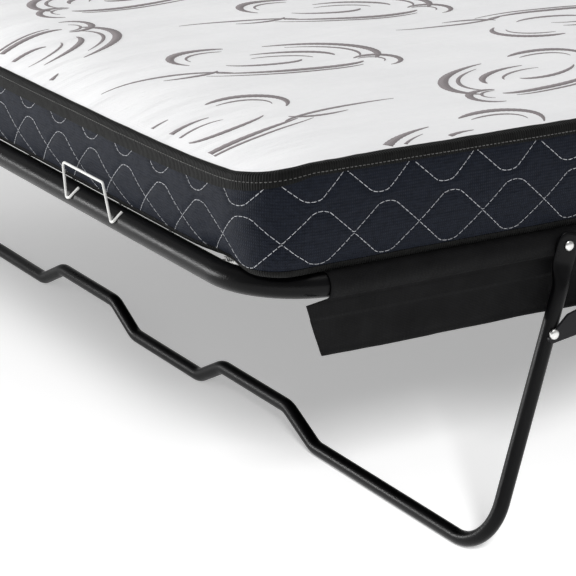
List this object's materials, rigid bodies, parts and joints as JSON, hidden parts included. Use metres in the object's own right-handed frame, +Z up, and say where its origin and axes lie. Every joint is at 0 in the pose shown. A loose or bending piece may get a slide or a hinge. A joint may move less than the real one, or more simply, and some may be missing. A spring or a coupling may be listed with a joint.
{
  "type": "double folding bed",
  "caption": "Double folding bed with a mattress on two tube-framed cloth decks that fold up over a wheeled centre stand, with U-shaped folding legs and flat struts.",
  "frame": {"origin": "on the floor under the middle of the bed", "axes": "+X along the bed towards the head end, +Y across the bed, +Z up"},
  "size_m": [1.9124, 1.3762, 0.432],
  "materials": {
    "black_coat": "semi-gloss black powder coat on steel tube and plate",
    "zinc": "bright zinc plate",
    "wire_coat": "smooth white coat on steel wire",
    "deck_cloth": "woven black polypropylene cloth with sewn hems",
    "mattress_ticking": "white stretch knit top with grey scrolls, dark blue mesh border with light quilting and black binding tape",
    "caster_rubber": "matt grey rubber"
  },
  "bodies": {
    "centre_stand": {"centre_bracket_left": "black_coat", "centre_bracket_right": "black_coat", "centre_support_tube": "black_coat", "centre_mattress": "mattress_ticking", "stand_tube_foot_side": "black_coat", "stand_tube_head_side": "black_coat", "foot_hinge_pin_left": "zinc", "foot_strut_pin_left": "zinc", "foot_hinge_pin_right": "zinc", "foot_strut_pin_right": "zinc", "head_hinge_pin_left": "zinc", "head_strut_pin_left": "zinc", "head_hinge_pin_right": "zinc", "head_strut_pin_right": "zinc"},
    "foot_deck": {"foot_deck_frame": "black_coat", "foot_crossbar": "black_coat", "foot_hinge_crossbar": "black_coat", "foot_deck_cloth": "deck_cloth", "foot_deck_springs": "zinc", "foot_mattress": "mattress_ticking", "foot_leg_rivet_left": "zinc", "foot_leg_rivet_right": "zinc", "foot_retaining_wire_left": "wire_coat", "foot_retaining_wire_right": "wire_coat"},
    "foot_leg": {"foot_leg": "black_coat"},
    "foot_struts": {"foot_strut_left": "black_coat", "foot_strut_right": "black_coat", "foot_strut_rivet_left": "zinc", "foot_strut_rivet_right": "zinc"},
    "head_deck": {"head_deck_frame": "black_coat", "head_crossbar": "black_coat", "head_hinge_crossbar": "black_coat", "head_deck_cloth": "deck_cloth", "head_deck_springs": "zinc", "head_mattress": "mattress_ticking", "head_leg_rivet_left": "zinc", "head_leg_rivet_right": "zinc", "head_retaining_wire_left": "wire_coat", "head_retaining_wire_right": "wire_coat"},
    "head_leg": {"head_leg": "black_coat"},
    "head_struts": {"head_strut_left": "black_coat", "head_strut_right": "black_coat", "head_strut_rivet_left": "zinc", "head_strut_rivet_right": "zinc"},
    "foot_caster_left_swivel": {"foot_caster_left_fork": "zinc", "foot_caster_left_axle": "zinc"},
    "foot_caster_left_roller": {"foot_caster_left_wheel": "caster_rubber"},
    "foot_caster_right_swivel": {"foot_caster_right_fork": "zinc", "foot_caster_right_axle": "zinc"},
    "foot_caster_right_roller": {"foot_caster_right_wheel": "caster_rubber"},
    "head_caster_left_swivel": {"head_caster_left_fork": "zinc", "head_caster_left_axle": "zinc"},
    "head_caster_left_roller": {"head_caster_left_wheel": "caster_rubber"},
    "head_caster_right_swivel": {"head_caster_right_fork": "zinc", "head_caster_right_axle": "zinc"},
    "head_caster_right_roller": {"head_caster_right_wheel": "caster_rubber"}
  },
  "joints": [
    {"name": "foot_fold", "type": "hinge", "parent": "centre_stand", "child": "foot_deck", "pos_m": [-0.14, 0, 0.313], "axis": [0, 1, 0], "range_deg": [0, 90], "deforming": ["centre_mattress"]},
    {"name": "foot_leg_fold", "type": "hinge", "parent": "foot_deck", "child": "foot_leg", "pos_m": [-0.608, 0, 0.313], "axis": [0, 1, 0], "range_deg": [0, 68]},
    {"name": "foot_strut_turn", "type": "hinge", "parent": "centre_stand", "child": "foot_struts", "pos_m": [-0.144, 0, 0.3605], "axis": [0, 1, 0], "range_deg": [0, 105]},
    {"name": "head_fold", "type": "hinge", "parent": "centre_stand", "child": "head_deck", "pos_m": [0.14, 0, 0.313], "axis": [0, -1, 0], "range_deg": [0, 90]},
    {"name": "head_leg_fold", "type": "hinge", "parent": "head_deck", "child": "head_leg", "pos_m": [0.608, 0, 0.313], "axis": [0, -1, 0], "range_deg": [0, 68]},
    {"name": "head_strut_turn", "type": "hinge", "parent": "centre_stand", "child": "head_struts", "pos_m": [0.144, 0, 0.3605], "axis": [0, -1, 0], "range_deg": [0, 105]},
    {"name": "foot_caster_left_swivels", "type": "hinge", "parent": "centre_stand", "child": "foot_caster_left_swivel", "pos_m": [-0.1, 0.56, 0.07], "axis": [0, 0, 1], "continuous": true},
    {"name": "foot_caster_left_rolls", "type": "hinge", "parent": "foot_caster_left_swivel", "child": "foot_caster_left_roller", "pos_m": [-0.118, 0.56, 0.0275], "axis": [0, 1, 0], "continuous": true},
    {"name": "foot_caster_right_swivels", "type": "hinge", "parent": "centre_stand", "child": "foot_caster_right_swivel", "pos_m": [-0.1, -0.56, 0.07], "axis": [0, 0, 1], "continuous": true},
    {"name": "foot_caster_right_rolls", "type": "hinge", "parent": "foot_caster_right_swivel", "child": "foot_caster_right_roller", "pos_m": [-0.118, -0.56, 0.0275], "axis": [0, 1, 0], "continuous": true},
    {"name": "head_caster_left_swivels", "type": "hinge", "parent": "centre_stand", "child": "head_caster_left_swivel", "pos_m": [0.1, 0.56, 0.07], "axis": [0, 0, 1], "continuous": true},
    {"name": "head_caster_left_rolls", "type": "hinge", "parent": "head_caster_left_swivel", "child": "head_caster_left_roller", "pos_m": [0.118, 0.56, 0.0275], "axis": [0, 1, 0], "continuous": true},
    {"name": "head_caster_right_swivels", "type": "hinge", "parent": "centre_stand", "child": "head_caster_right_swivel", "pos_m": [0.1, -0.56, 0.07], "axis": [0, 0, 1], "continuous": true},
    {"name": "head_caster_right_rolls", "type": "hinge", "parent": "head_caster_right_swivel", "child": "head_caster_right_roller", "pos_m": [0.118, -0.56, 0.0275], "axis": [0, 1, 0], "continuous": true}
  ],
  "couplings": [
    {"joint": "foot_leg_fold", "follows": "foot_fold", "ratio": 0.7512},
    {"joint": "foot_strut_turn", "follows": "foot_fold", "ratio": 1.1596},
    {"joint": "head_leg_fold", "follows": "head_fold", "ratio": 0.7512},
    {"joint": "head_strut_turn", "follows": "head_fold", "ratio": 1.1596}
  ]
}
